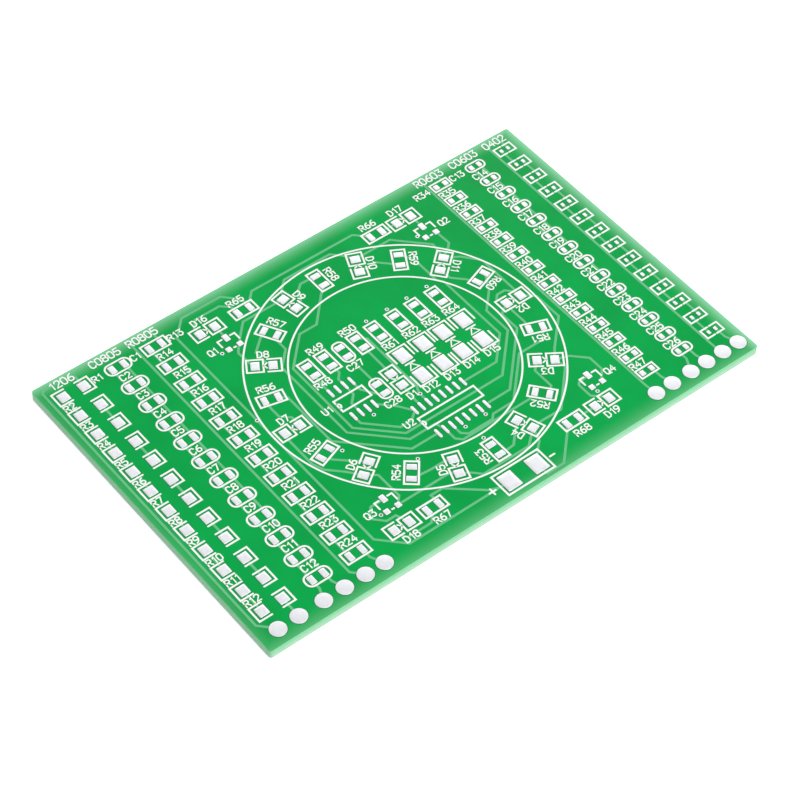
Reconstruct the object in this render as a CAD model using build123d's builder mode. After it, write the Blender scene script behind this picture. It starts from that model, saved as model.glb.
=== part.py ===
from build123d import *
import os

# Practice board for hand soldering: a bare green circuit board with tinned pads and white legend.
# Millimetres. The origin is under the middle of the board, +X along its length, +Z up.

# Board and its layers
board_thickness = 1.6
board_corner_radius = 0.4
track_height = 0.035
pad_height = 0.06
ink_height = 0.03
cut_overrun = 1.0

# Zones of the layout: the ring in the middle, a block of columns on each side, a strip front and back
ring_radius = 23.51
ring_band = 6.51
left_block = 22.35
right_block = 19.43
front_strip = 5.41
back_strip = 4.97

# Line widths and vias
track_width = 0.38
ring_stroke = 0.36
outline_stroke = 0.3
via_hole_diameter = 0.32
via_sides = 8

# Chip footprints: pad centre to pad centre, then each pad's length and width
chip_1206_span = 3.47
chip_1206_pad_length = 1.7
chip_1206_pad_width = 1.8
capacitor_0805_span = 2.06
capacitor_0805_pad_length = 1.08
capacitor_0805_pad_width = 1.6
resistor_0805_span = 2.13
resistor_0805_pad_length = 1.06
resistor_0805_pad_width = 1.62
resistor_0603_span = 1.72
resistor_0603_pad_length = 0.95
resistor_0603_pad_width = 1.05
capacitor_0603_span = 1.5
capacitor_0603_pad_length = 0.85
capacitor_0603_pad_width = 1.05
chip_0402_span = 1.3
chip_0402_pad_length = 0.65
chip_0402_pad_width = 0.8
led_span = 2.62
led_pad_length = 1.45
led_pad_width = 1.66
diode_span = 4.65
diode_pad_length = 2.68
diode_pad_width = 2.2

# Integrated circuit, transistor, supply and test footprints
lead_pitch = 1.27
lead_row_span = 5.4
lead_pad_length = 1.86
lead_pad_width = 0.6
transistor_lead_span = 2.0
transistor_row_span = 2.12
transistor_tall_pad = 1.45
transistor_pad = 1.0
supply_span = 5.0
supply_pad_length = 2.6
supply_pad_width = 3.1
test_pad_diameter = 2.65
test_pad_sides = 20
lead_tip_share = 0.42

# Legend outlines: from the pads to the middle of the line
resistor_outline_end_gap = 0.455
resistor_outline_side_gap = 0.22
lead_outline_overhang = 0.66
lead_outline_gap = 0.62
supply_outline_gap = 0.425

# Places on the board are shares: from -1 to 1 across the ring, and on to -2 and 2 at the board's edges
chip_1206_column_share = -1.785
capacitor_0805_column_share = -1.440
resistor_0805_column_share = -1.147
resistor_0603_column_share = 1.171
capacitor_0603_column_share = 1.523
chip_0402_column_share = 1.830
left_row_shares = (1.24, -0.972)
right_row_shares = (1.302, -0.958)
left_test_shares = (-1.864, -1.708, -1.520, -1.360, -1.200, -1.053)
right_test_shares = (1.080, 1.239, 1.425, 1.584, 1.747, 1.906)
test_row_share = -1.562
supply_shares = (0.019, -1.464)
footprint_circle_share = 0.87
centre_row_share = 0.301
centre_resistor_shares = (-0.502, -0.373, -0.1225, 0.020, 0.185, 0.342, 0.504)
centre_capacitor_shares = ((-0.248, 0.301), (-0.247, -0.073))
indicator_led_shares = (-0.126, -0.072)
diode_shares = (0.022, 0.186, 0.343, 0.505)
diode_row_share = -0.042
timer_shares = (-0.435, -0.030)
counter_shares = (-0.004, -0.449)
corner_led_shares = ((-0.809, 0.960), (0.755, 0.967), (-0.806, -0.981), (0.755, -0.981))
corner_resistor_shares = ((-0.530, 0.960), (0.533, 0.973), (-0.573, -0.983), (0.516, -0.983))
transistor_shares = ((-0.754, 0.795), (0.811, 0.801), (-0.767, -0.799), (0.826, -0.808))
via_row_shares = (0.020, 0.185, 0.342, 0.504)
via_row_height_share = 0.418
via_shares = (
    (-0.998, 0.184), (-0.849, 0.748), (0.731, 0.795), (-0.853, -0.843), (0.789, -0.898),
    (-0.411, -0.211), (-0.083, -0.252), (0.129, -0.267), (-0.030, -0.624), (0.129, -0.622),
    (-0.734, -0.316), (-0.415, -0.643), (0, -0.758),
)

# Turns of the ring's footprints, in degrees, clockwise from the right-hand side
ring_step = 360 / 20
led_turns = (0, -34.5, -69.5, -109, -145.5, 180, 148, 102, 67, 40)
resistor_turns = (-21, -50, -90, -129.5, -161, 166, 120, 90, 60, 19)
left_row_count = 12
right_row_count = 14
timer_lead_count = 4
counter_lead_count = 8

# Routes of the copper, each from pad to pad through its bends
left_route_shares = (
    ((-1.864, -1.562), (-1.911, -1.335), (-1.955, -1.15), (-1.955, 1.70), (-1.933, 1.80),
     (-1.73, 1.80), (-1.708, 1.70), (-1.708, 1.25)),
    ((-1.708, -0.97), (-1.708, -1.562)),
    ((-1.486, -0.97), (-1.486, -1.2), (-1.520, -1.562)),
    ((-1.394, -0.97), (-1.394, -1.2), (-1.360, -1.562)),
    ((-1.200, -1.562), (-1.268, -1.261), (-1.268, 1.68), (-1.244, 1.80), (-1.123, 1.80),
     (-1.099, 1.68), (-1.099, 1.24)),
    ((-1.099, -0.97), (-1.099, -1.2), (-1.053, -1.562)),
)
right_route_shares = (
    ((1.080, -1.562), (1.066, -1.2), (1.066, 1.68), (1.09, 1.80), (1.19, 1.80), (1.215, 1.68),
     (1.215, 1.302)),
    ((1.215, -0.958), (1.215, -1.2), (1.239, -1.562)),
    ((1.484, -0.958), (1.484, -1.15), (1.425, -1.562)),
    ((1.562, -0.958), (1.562, -1.2), (1.584, -1.562)),
    ((1.747, -1.562), (1.732, -1.3), (1.732, 1.62), (1.755, 1.74), (1.84, 1.74), (1.864, 1.62),
     (1.864, 1.302)),
    ((1.864, -0.958), (1.864, -1.2), (1.906, -1.562)),
)
corner_route_shares = (
    ((-0.088, -1.482), (-0.849, -1.482), (-0.998, -0.958), (-0.998, 1.095), (-0.879, 1.668),
     (-0.581, 1.668), (-0.526, 1.406), (-0.484, 1.095), (-0.484, 0.960)),
    ((-0.484, 0.960), (-0.436, 1.095), (-0.394, 1.286), (0.406, 1.286), (0.444, 1.115), (0.487, 0.973)),
    ((-0.863, 0.960), (-0.863, 1.12), (-0.82, 1.376), (-0.632, 1.376), (-0.576, 1.13), (-0.576, 0.960)),
    ((-0.754, 0.960), (-0.754, 0.841)),
    ((0.810, 0.967), (0.811, 0.846)),
    ((0.579, 0.973), (0.699, 0.967)),
    ((0.562, -0.983), (0.699, -0.981)),
    ((-0.862, -0.981), (-0.862, -1.1), (-0.828, -1.298), (-0.653, -1.298), (-0.618, -1.15),
     (-0.618, -0.983)),
    ((-0.527, -0.983), (-0.527, -0.907), (-0.441, -0.907), (-0.232, -1.372), (-0.17, -1.482)),
    ((0.125, -1.464), (0.206, -1.094), (0.253, -0.979), (0.288, -0.879)),
    ((0.125, -1.464), (0.125, -1.88), (0.257, -1.88), (0.423, -1.168), (0.470, -0.983)),
    ((-0.766, -0.758), (-0.862, -0.758), (-0.913, -0.813), (-0.913, -0.835), (-0.853, -0.898),
     (-0.785, -0.898), (-0.751, -0.981)),
    ((0.827, -0.766), (0.746, -0.775), (0.731, -0.792), (0.731, -0.898), (0.810, -0.975)),
)
ring_route_shares = (
    ((-0.713, 0.752), (-0.751, 0.714), (-0.768, 0.688), (-0.760, 0.56)),
    ((-0.713, 0.752), (-0.683, 0.790), (-0.590, 0.884), (-0.286, 0.884)),
    ((-0.28, 0.881), (-0.241, 0.952), (-0.173, 1.064), (0.189, 1.064), (0.248, 0.952), (0.29, 0.878)),
    ((0.290, 0.878), (0.376, 0.880), (0.572, 0.880), (0.767, 0.680), (0.746, 0.547)),
    ((0.852, 0.756), (0.857, 0.629), (0.827, 0.599), (0.746, 0.547)),
    ((0.746, 0.547), (0.840, 0.488), (0.916, 0.395), (0.929, 0.365), (0.929, 0.071), (0.925, 0)),
    ((0.925, 0), (0.967, -0.035), (1.004, -0.069), (1.004, -0.282), (0.810, -0.469), (0.749, -0.543)),
    ((0.749, -0.543), (0.840, -0.575), (0.929, -0.664), (0.929, -0.78), (0.865, -0.847)),
    ((0.288, -0.879), (0.359, -0.869), (0.516, -0.873), (0.763, -0.626), (0.749, -0.543)),
    ((-0.287, -0.880), (-0.228, -0.920), (-0.177, -0.973), (0.176, -0.973), (0.288, -0.879)),
    ((-0.726, -0.843), (-0.33, -0.843), (-0.287, -0.880)),
    ((-0.749, -0.543), (-0.679, -0.596), (-0.677, -0.792), (-0.726, -0.843)),
    ((-0.925, 0), (-0.940, -0.052), (-0.940, -0.290), (-0.909, -0.367), (-0.819, -0.456),
     (-0.749, -0.543)),
    ((-0.535, 0.744), (-0.594, 0.701), (-0.679, 0.629), (-0.679, 0.531), (-0.657, 0.482)),
    ((-0.872, -0.284), (-0.811, -0.345), (-0.751, -0.401), (-0.658, -0.480)),
    ((-0.541, -0.740), (-0.402, -0.754), (-0.296, -0.754), (-0.251, -0.775)),
    ((0, -0.917), (0.108, -0.911), (0.151, -0.869), (0.250, -0.775)),
    ((0.541, -0.739), (0.593, -0.690), (0.593, -0.537), (0.658, -0.480)),
    ((0.815, 0), (0.803, -0.060), (0.803, -0.190), (0.783, -0.252)),
    ((0.661, 0.476), (0.670, 0.386), (0.742, 0.314), (0.783, 0.254)),
    ((0.247, 0.776), (0.380, 0.778), (0.440, 0.718), (0.488, 0.663)),
    ((0.815, 0), (0.784, 0.063), (0.814, 0.093), (0.874, 0.093), (0.903, 0.063), (0.925, 0)),
    ((-0.873, 0.280), (-0.875, 0.203), (-0.875, 0.127), (-0.817, 0.076), (-0.815, 0)),
    ((0, 0.917), (-0.113, 0.922), (-0.164, 0.880), (-0.198, 0.807), (-0.257, 0.773)),
)
centre_route_shares = (
    ((0, 0.823), (-0.062, 0.773), (-0.241, 0.586), (-0.373, 0.586), (-0.577, 0.382), (-0.577, -0.214),
     (-0.347, -0.443), (0.410, -0.443), (0.674, -0.179), (0.674, 0.029), (0.801, 0.157),
     (0.872, 0.284)),
    ((-0.488, 0.663), (-0.517, 0.620), (-0.517, 0.539), (-0.626, 0.431), (-0.626, -0.222),
     (-0.356, -0.494), (-0.160, -0.494), (-0.139, -0.561)),
    ((-0.782, 0.257), (-0.741, 0.216), (-0.741, -0.218), (-0.394, -0.560), (-0.193, -0.561)),
    ((-0.516, -0.145), (-0.515, -0.214), (-0.343, -0.386), (-0.258, -0.386), (-0.193, -0.337)),
    ((0.185, -0.337), (0.450, -0.337), (0.618, -0.169), (0.618, 0.386), (0.589, 0.425), (0.589, 0.654),
     (0.535, 0.744)),
    ((0.185, -0.561), (0.372, -0.560), (0.731, -0.201), (0.731, -0.052), (0.815, 0)),
    ((-0.085, -0.561), (-0.085, -0.643), (-0.049, -0.677), (0.138, -0.677), (0.168, -0.647),
     (0.329, -0.647), (0.606, -0.371), (0.797, -0.371), (0.871, -0.285)),
    ((-0.139, -0.561), (-0.139, -0.656), (-0.105, -0.692), (0.420, -0.692), (0.481, -0.668)),
    ((-0.373, 0.257), (-0.370, 0.186), (-0.409, 0.144), (-0.408, 0.086)),
    ((-0.502, 0.257), (-0.516, 0.200), (-0.516, 0.086)),
    ((-0.248, 0.257), (-0.247, -0.029)),
    ((-0.1225, 0.257), (-0.126, -0.014)),
    ((-0.1225, 0.346), (-0.062, 0.300), (-0.062, -0.190), (-0.085, -0.240), (-0.085, -0.337)),
    ((-0.354, -0.145), (-0.309, -0.192), (-0.254, -0.248), (-0.193, -0.337)),
    ((-0.126, -0.131), (-0.139, -0.273), (-0.139, -0.337)),
    ((-0.408, 0.086), (-0.408, -0.005), (-0.462, -0.058), (-0.462, -0.145)),
    ((-0.354, 0.086), (-0.354, 0), (-0.290, -0.095), (-0.247, -0.117)),
)

# Sizes that follow from the ones above
board_length = left_block + 2 * ring_radius + right_block
board_depth = front_strip + 2 * ring_radius + back_strip
ring_x = left_block + ring_radius - board_length / 2
ring_y = front_strip + ring_radius - board_depth / 2
inner_ring_radius = ring_radius - ring_band
footprint_radius = ring_radius * footprint_circle_share
mask_top = board_thickness
ink_level = mask_top + track_height


def zone_place(share, middle, below, above):
    """Turn a share into a place: the ring's radius on each side of its middle, then the zones beyond."""
    if share < -1:
        return middle - ring_radius + (share + 1) * below
    if share > 1:
        return middle + ring_radius + (share - 1) * above
    return middle + share * ring_radius


def spot(share_pair):
    """The point on the board at a pair of shares."""
    x_share, y_share = share_pair
    x = zone_place(x_share, ring_x, left_block, right_block)
    y = zone_place(y_share, ring_y, front_strip, back_strip)
    return (x, y)


def column(column_share, row_shares, rows):
    """The middles of one column of footprints, from the back row to the front row."""
    x, back_y = spot((column_share, row_shares[0]))
    front_y = spot((column_share, row_shares[1]))[1]
    pitch = (front_y - back_y) / (rows - 1)
    return [(x, back_y + pitch * row) for row in range(rows)]


def around_ring(turns, first_angle):
    """The places of every second footprint round the ring, each with its own turn."""
    places = []
    for index, turn in enumerate(turns):
        middle = Vector(footprint_radius, 0).rotate(Axis.Z, first_angle - 2 * ring_step * index)
        places.append(Location((ring_x + middle.X, ring_y + middle.Y, 0), (0, 0, turn)))
    return places


def upright(points):
    """The same points, each turned a quarter so that its footprint stands along Y."""
    return [Location((x, y, 0), (0, 0, 90)) for x, y in points]


def pad_pair(span, length, width):
    """Draw the two pads of a chip at every place in use."""
    with GridLocations(span, 0, 2, 1):
        Rectangle(length, width)


def lead_pads(leads):
    """Draw the two rows of rounded pads of a leaded package at every place in use."""
    half_width = lead_pad_width / 2
    half_length = lead_pad_length / 2
    tip = half_width * lead_tip_share
    shoulder = half_length - half_width + tip
    quarter = [(half_width, shoulder), (tip, half_length)]
    right = [(x, -y) for x, y in reversed(quarter)] + quarter
    left = [(-x, -y) for x, y in right]
    with GridLocations(lead_pitch, lead_row_span, leads, 2):
        Polygon(*right, *left)


def frame(length, width):
    """Draw a rectangular outline in the legend's stroke at every place in use."""
    Rectangle(length + outline_stroke, width + outline_stroke)
    Rectangle(length - outline_stroke, width - outline_stroke, mode=Mode.SUBTRACT)


def pad_frame(span, pad_length, pad_width, end_gap, side_gap):
    """Draw the outline round a pair of pads at every place in use."""
    frame(span + pad_length + 2 * end_gap, pad_width + 2 * side_gap)


def lead_frame(leads):
    """Draw the outline between the two rows of pads of a leaded package."""
    length = (leads - 1) * lead_pitch + 2 * lead_outline_overhang
    frame(length, lead_row_span - lead_pad_length - 2 * lead_outline_gap)


def routes(route_shares):
    """Draw tracks along the routes."""
    for route in route_shares:
        with BuildLine() as path:
            Polyline(*[spot(point) for point in route])
        trace(path.line, line_width=track_width)


def links(places, side_offset, pad_width, first_row, step):
    """Draw the short tracks that join pads of neighbouring rows, from pad edge to pad edge."""
    for upper, lower in list(zip(places, places[1:]))[first_row::step]:
        gap = upper[1] - lower[1] - pad_width
        with Locations((upper[0] + side_offset, (upper[1] + lower[1]) / 2)):
            Rectangle(track_width, gap)


def chain(places, span, pad_width):
    """Draw the links of a column whose chips are joined in series, left and right by turns."""
    links(places, -span / 2, pad_width, 0, 2)
    links(places, span / 2, pad_width, 1, 2)


def rails(places, span, pad_width):
    """Draw the links of a column whose chips are joined in parallel."""
    links(places, -span / 2, pad_width, 0, 1)
    links(places, span / 2, pad_width, 0, 1)


# Places of the footprints
chip_1206_places = column(chip_1206_column_share, left_row_shares, left_row_count)
capacitor_0805_places = column(capacitor_0805_column_share, left_row_shares, left_row_count)
resistor_0805_places = column(resistor_0805_column_share, left_row_shares, left_row_count)
resistor_0603_places = column(resistor_0603_column_share, right_row_shares, right_row_count)
capacitor_0603_places = column(capacitor_0603_column_share, right_row_shares, right_row_count)
chip_0402_places = column(chip_0402_column_share, right_row_shares, right_row_count)
ring_led_places = around_ring(led_turns, 0)
ring_resistor_places = around_ring(resistor_turns, -ring_step)
centre_resistor_places = upright([spot((share, centre_row_share)) for share in centre_resistor_shares])
centre_capacitor_places = upright([spot(pair) for pair in centre_capacitor_shares])
diode_places = upright([spot((share, diode_row_share)) for share in diode_shares])
corner_led_places = [spot(pair) for pair in corner_led_shares]
corner_resistor_places = [spot(pair) for pair in corner_resistor_shares]
transistor_places = [spot(pair) for pair in transistor_shares]
test_places = [spot((share, test_row_share)) for share in left_test_shares + right_test_shares]
via_places = [spot((share, via_row_height_share)) for share in via_row_shares]
via_places += [spot(pair) for pair in via_shares]

# Laminate sheet with its drilled vias
with BuildPart() as board:
    with BuildSketch():
        RectangleRounded(board_length, board_depth, board_corner_radius)
    extrude(amount=board_thickness)
    with BuildSketch(Plane.XY.offset(-cut_overrun)):
        with Locations(*via_places):
            RegularPolygon(via_hole_diameter / 2, via_sides)
    extrude(amount=board_thickness + 2 * cut_overrun, mode=Mode.SUBTRACT)

# Tinned pads of the left-hand columns
with BuildPart() as resistor_1206_pads:
    with BuildSketch(Plane.XY.offset(mask_top)):
        with Locations(*chip_1206_places):
            pad_pair(chip_1206_span, chip_1206_pad_length, chip_1206_pad_width)
    extrude(amount=pad_height)

with BuildPart() as capacitor_0805_pads:
    with BuildSketch(Plane.XY.offset(mask_top)):
        with Locations(*capacitor_0805_places):
            pad_pair(capacitor_0805_span, capacitor_0805_pad_length, capacitor_0805_pad_width)
    extrude(amount=pad_height)

with BuildPart() as resistor_0805_pads:
    with BuildSketch(Plane.XY.offset(mask_top)):
        with Locations(*resistor_0805_places):
            pad_pair(resistor_0805_span, resistor_0805_pad_length, resistor_0805_pad_width)
    extrude(amount=pad_height)

# Tinned pads of the right-hand columns
with BuildPart() as resistor_0603_pads:
    with BuildSketch(Plane.XY.offset(mask_top)):
        with Locations(*resistor_0603_places):
            pad_pair(resistor_0603_span, resistor_0603_pad_length, resistor_0603_pad_width)
    extrude(amount=pad_height)

with BuildPart() as capacitor_0603_pads:
    with BuildSketch(Plane.XY.offset(mask_top)):
        with Locations(*capacitor_0603_places):
            pad_pair(capacitor_0603_span, capacitor_0603_pad_length, capacitor_0603_pad_width)
    extrude(amount=pad_height)

with BuildPart() as chip_0402_pads:
    with BuildSketch(Plane.XY.offset(mask_top)):
        with Locations(*chip_0402_places):
            pad_pair(chip_0402_span, chip_0402_pad_length, chip_0402_pad_width)
    extrude(amount=pad_height)

# Tinned pads round the ring
with BuildPart() as ring_led_pads:
    with BuildSketch(Plane.XY.offset(mask_top)):
        with Locations(*ring_led_places):
            pad_pair(led_span, led_pad_length, led_pad_width)
    extrude(amount=pad_height)

with BuildPart() as ring_resistor_pads:
    with BuildSketch(Plane.XY.offset(mask_top)):
        with Locations(*ring_resistor_places):
            pad_pair(resistor_0805_span, resistor_0805_pad_length, resistor_0805_pad_width)
    extrude(amount=pad_height)

# Tinned pads inside the ring
with BuildPart() as centre_resistor_pads:
    with BuildSketch(Plane.XY.offset(mask_top)):
        with Locations(*centre_resistor_places):
            pad_pair(resistor_0805_span, resistor_0805_pad_length, resistor_0805_pad_width)
    extrude(amount=pad_height)

with BuildPart() as centre_capacitor_pads:
    with BuildSketch(Plane.XY.offset(mask_top)):
        with Locations(*centre_capacitor_places):
            pad_pair(capacitor_0805_span, capacitor_0805_pad_length, capacitor_0805_pad_width)
    extrude(amount=pad_height)

with BuildPart() as indicator_led_pads:
    with BuildSketch(Plane.XY.offset(mask_top)):
        with Locations(*upright([spot(indicator_led_shares)])):
            pad_pair(led_span, led_pad_length, led_pad_width)
    extrude(amount=pad_height)

with BuildPart() as diode_pads:
    with BuildSketch(Plane.XY.offset(mask_top)):
        with Locations(*diode_places):
            pad_pair(diode_span, diode_pad_length, diode_pad_width)
    extrude(amount=pad_height)

with BuildPart() as timer_pads:
    with BuildSketch(Plane.XY.offset(mask_top)):
        with Locations(spot(timer_shares)):
            lead_pads(timer_lead_count)
    extrude(amount=pad_height)

with BuildPart() as counter_pads:
    with BuildSketch(Plane.XY.offset(mask_top)):
        with Locations(spot(counter_shares)):
            lead_pads(counter_lead_count)
    extrude(amount=pad_height)

# Tinned pads at the corners of the ring and along the front edge
with BuildPart() as corner_led_pads:
    with BuildSketch(Plane.XY.offset(mask_top)):
        with Locations(*corner_led_places):
            pad_pair(led_span, led_pad_length, led_pad_width)
    extrude(amount=pad_height)

with BuildPart() as corner_resistor_pads:
    with BuildSketch(Plane.XY.offset(mask_top)):
        with Locations(*corner_resistor_places):
            pad_pair(resistor_0805_span, resistor_0805_pad_length, resistor_0805_pad_width)
    extrude(amount=pad_height)

with BuildPart() as transistor_pads:
    with BuildSketch(Plane.XY.offset(mask_top)):
        with Locations(*transistor_places):
            with Locations((0, transistor_row_span / 2)):
                Rectangle(transistor_pad, transistor_tall_pad)
            with Locations((0, -transistor_row_span / 2)):
                pad_pair(transistor_lead_span, transistor_pad, transistor_pad)
    extrude(amount=pad_height)

with BuildPart() as supply_pads:
    with BuildSketch(Plane.XY.offset(mask_top)):
        with Locations(spot(supply_shares)):
            pad_pair(supply_span, supply_pad_length, supply_pad_width)
    extrude(amount=pad_height)

with BuildPart() as test_pads:
    with BuildSketch(Plane.XY.offset(mask_top)):
        with Locations(*test_places):
            RegularPolygon(test_pad_diameter / 2, test_pad_sides)
    extrude(amount=pad_height)

# Copper tracks under the mask, which stop at the pads and leave the vias open
left_pads = (resistor_1206_pads, capacitor_0805_pads, resistor_0805_pads, test_pads)
right_pads = (resistor_0603_pads, capacitor_0603_pads, chip_0402_pads, test_pads)
middle_pads = (
    ring_led_pads, ring_resistor_pads, centre_resistor_pads, centre_capacitor_pads, indicator_led_pads,
    diode_pads, timer_pads, counter_pads, corner_led_pads, corner_resistor_pads, transistor_pads,
    supply_pads,
)

with BuildPart() as left_tracks:
    with BuildSketch(Plane.XY.offset(mask_top)):
        chain(chip_1206_places, chip_1206_span, chip_1206_pad_width)
        rails(capacitor_0805_places, capacitor_0805_span, capacitor_0805_pad_width)
        chain(resistor_0805_places, resistor_0805_span, resistor_0805_pad_width)
        routes(left_route_shares)
    extrude(amount=track_height)
    add([pads.part for pads in left_pads], mode=Mode.SUBTRACT)

with BuildPart() as right_tracks:
    with BuildSketch(Plane.XY.offset(mask_top)):
        chain(resistor_0603_places, resistor_0603_span, resistor_0603_pad_width)
        rails(capacitor_0603_places, capacitor_0603_span, capacitor_0603_pad_width)
        chain(chip_0402_places, chip_0402_span, chip_0402_pad_width)
        routes(right_route_shares)
    extrude(amount=track_height)
    add([pads.part for pads in right_pads], mode=Mode.SUBTRACT)

with BuildPart() as ring_tracks:
    with BuildSketch(Plane.XY.offset(mask_top)):
        routes(corner_route_shares + ring_route_shares + centre_route_shares)
        with Locations(*via_places):
            RegularPolygon(via_hole_diameter / 2, via_sides, mode=Mode.SUBTRACT)
    extrude(amount=track_height)
    add([pads.part for pads in middle_pads], mode=Mode.SUBTRACT)

# White legend ink, level with the tops of the tracks that it crosses and kept off the pads
with BuildPart() as legend_rings:
    with BuildSketch(Plane.XY.offset(ink_level)):
        with Locations((ring_x, ring_y)):
            for radius in (ring_radius, inner_ring_radius):
                Circle(radius + ring_stroke / 2)
                Circle(radius - ring_stroke / 2, mode=Mode.SUBTRACT)
    extrude(amount=ink_height)
    add([pads.part for pads in middle_pads], mode=Mode.SUBTRACT)

with BuildPart() as legend_outlines:
    with BuildSketch(Plane.XY.offset(ink_level)):
        with Locations(*ring_resistor_places, *centre_resistor_places, *corner_resistor_places):
            pad_frame(resistor_0805_span, resistor_0805_pad_length, resistor_0805_pad_width,
                      resistor_outline_end_gap, resistor_outline_side_gap)
        with Locations(spot(timer_shares)):
            lead_frame(timer_lead_count)
        with Locations(spot(counter_shares)):
            lead_frame(counter_lead_count)
        with Locations(spot(supply_shares)):
            pad_frame(supply_span, supply_pad_length, supply_pad_width,
                      supply_outline_gap, supply_outline_gap)
    extrude(amount=ink_height)

# Every piece to its own file
pieces = {
    "board": board,
    "left_tracks": left_tracks,
    "ring_tracks": ring_tracks,
    "right_tracks": right_tracks,
    "resistor_1206_pads": resistor_1206_pads,
    "capacitor_0805_pads": capacitor_0805_pads,
    "resistor_0805_pads": resistor_0805_pads,
    "resistor_0603_pads": resistor_0603_pads,
    "capacitor_0603_pads": capacitor_0603_pads,
    "chip_0402_pads": chip_0402_pads,
    "ring_led_pads": ring_led_pads,
    "ring_resistor_pads": ring_resistor_pads,
    "centre_resistor_pads": centre_resistor_pads,
    "centre_capacitor_pads": centre_capacitor_pads,
    "indicator_led_pads": indicator_led_pads,
    "diode_pads": diode_pads,
    "timer_pads": timer_pads,
    "counter_pads": counter_pads,
    "corner_led_pads": corner_led_pads,
    "corner_resistor_pads": corner_resistor_pads,
    "transistor_pads": transistor_pads,
    "supply_pads": supply_pads,
    "test_pads": test_pads,
    "legend_rings": legend_rings,
    "legend_outlines": legend_outlines,
}
os.makedirs("parts", exist_ok=True)
for name, piece in pieces.items():
    piece.part.label = name
    export_step(piece.part, f"parts/{name}.step")
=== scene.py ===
"""Looks of the soldering practice board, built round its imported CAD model.

The CAD nodes give the board, the tracks, the pads and the large legend shapes. This script dresses
them and adds what is too fine for the solids: the lettering, the small legend marks, the openings of
the mask, the tinned via lands and the crowned tin on the pads. Lengths are millimetres until a mesh
or a texture is made, then metres.
"""

import logging
import math
from dataclasses import dataclass, field
from enum import Enum

import bmesh
import bpy
from mathutils import Matrix, Vector


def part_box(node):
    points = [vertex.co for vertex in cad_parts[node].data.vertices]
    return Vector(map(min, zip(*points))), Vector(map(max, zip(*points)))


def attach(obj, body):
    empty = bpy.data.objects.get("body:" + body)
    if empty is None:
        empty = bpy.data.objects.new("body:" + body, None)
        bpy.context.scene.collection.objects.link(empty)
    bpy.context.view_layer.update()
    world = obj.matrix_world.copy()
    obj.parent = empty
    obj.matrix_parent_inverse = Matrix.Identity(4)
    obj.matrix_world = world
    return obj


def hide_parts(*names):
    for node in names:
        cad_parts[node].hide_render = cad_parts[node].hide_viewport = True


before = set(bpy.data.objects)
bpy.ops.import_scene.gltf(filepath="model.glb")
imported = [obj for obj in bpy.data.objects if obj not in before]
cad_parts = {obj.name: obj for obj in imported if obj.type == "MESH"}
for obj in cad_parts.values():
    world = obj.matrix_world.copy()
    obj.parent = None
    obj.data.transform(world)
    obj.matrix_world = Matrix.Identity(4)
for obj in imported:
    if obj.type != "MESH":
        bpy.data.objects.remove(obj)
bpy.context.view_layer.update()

LOG = logging.getLogger("practice_board")
MM = 0.001
BODY = "root"

# Sockets of the colour mixing node
MIX_FACTOR, MIX_LOW, MIX_HIGH, MIX_COLOUR = 0, 6, 7, 2
# Refractive index of cured epoxy, in the mask, the ink and the resin
EPOXY_IOR = 1.5
# Quarters of a round-cornered outline, anticlockwise from the right and back one
QUARTERS = ((1, 1), (-1, 1), (-1, -1), (1, -1))
# Lines of the print that cross differ by this much in height, so that no two faces coincide
CROSSING_LIFT = 0.002

Point = tuple[float, float]
Outline = list[Point]
Socket = bpy.types.NodeSocket


class Slot(Enum):
    """Material slots of the record, named along with each added piece."""

    MASK = "solder_mask"
    TIN = "tinned_copper"
    INK = "legend_ink"


class Align(Enum):
    """How a label sits on its anchor point, as a share of its length."""

    LEFT = 0.0
    CENTRE = 0.5


class Side(Enum):
    """Side of a footprint that its word is on, as a sign along Y."""

    FRONT = -1
    BACK = 1


class Shape(Enum):
    """Outlines that the print draws round a chip."""

    BRACKETS = "brackets"
    STADIUM = "stadium"
    RECTANGLE = "rectangle"


# Small helpers


def srgb(hex_colour: str) -> tuple[float, float, float, float]:
    """Turn an sRGB hex colour into linear RGBA.

    Args:
        hex_colour: Six hex digits, such as "1FA352".

    Returns:
        Linear red, green, blue and an alpha of 1.
    """
    channels = [int(hex_colour[i:i + 2], 16) / 255 for i in (0, 2, 4)]
    linear = [c / 12.92 if c <= 0.04045 else ((c + 0.055) / 1.055) ** 2.4 for c in channels]
    return (*linear, 1.0)


def per_mm(size: float) -> float:
    """Texture scale, in cycles per metre, of a pattern whose real size is given in millimetres."""
    return 1.0 / (size * MM)


def turned(point: Point, degrees: float) -> Point:
    """Turn a point about the origin.

    Args:
        point: The point.
        degrees: The turn, anticlockwise.

    Returns:
        The turned point.
    """
    angle = math.radians(degrees)
    x, y = point
    return (x * math.cos(angle) - y * math.sin(angle), x * math.sin(angle) + y * math.cos(angle))


def placed(point: Point, middle: Point, degrees: float = 0.0) -> Point:
    """Put a point of a footprint's own drawing on the board."""
    x, y = turned(point, degrees)
    return (x + middle[0], y + middle[1])


def middle_of(points: Outline) -> Point:
    """Mean of some points."""
    return (sum(x for x, _ in points) / len(points), sum(y for _, y in points) / len(points))


def box_mm(name: str) -> tuple[Vector, Vector]:
    """Lowest and highest corner of a CAD node, in millimetres."""
    low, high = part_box(name)
    return Vector(low) / MM, Vector(high) / MM


def box_middle(name: str) -> Point:
    """Middle of a CAD node, seen from above."""
    low, high = box_mm(name)
    return ((low.x + high.x) / 2, (low.y + high.y) / 2)


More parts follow.
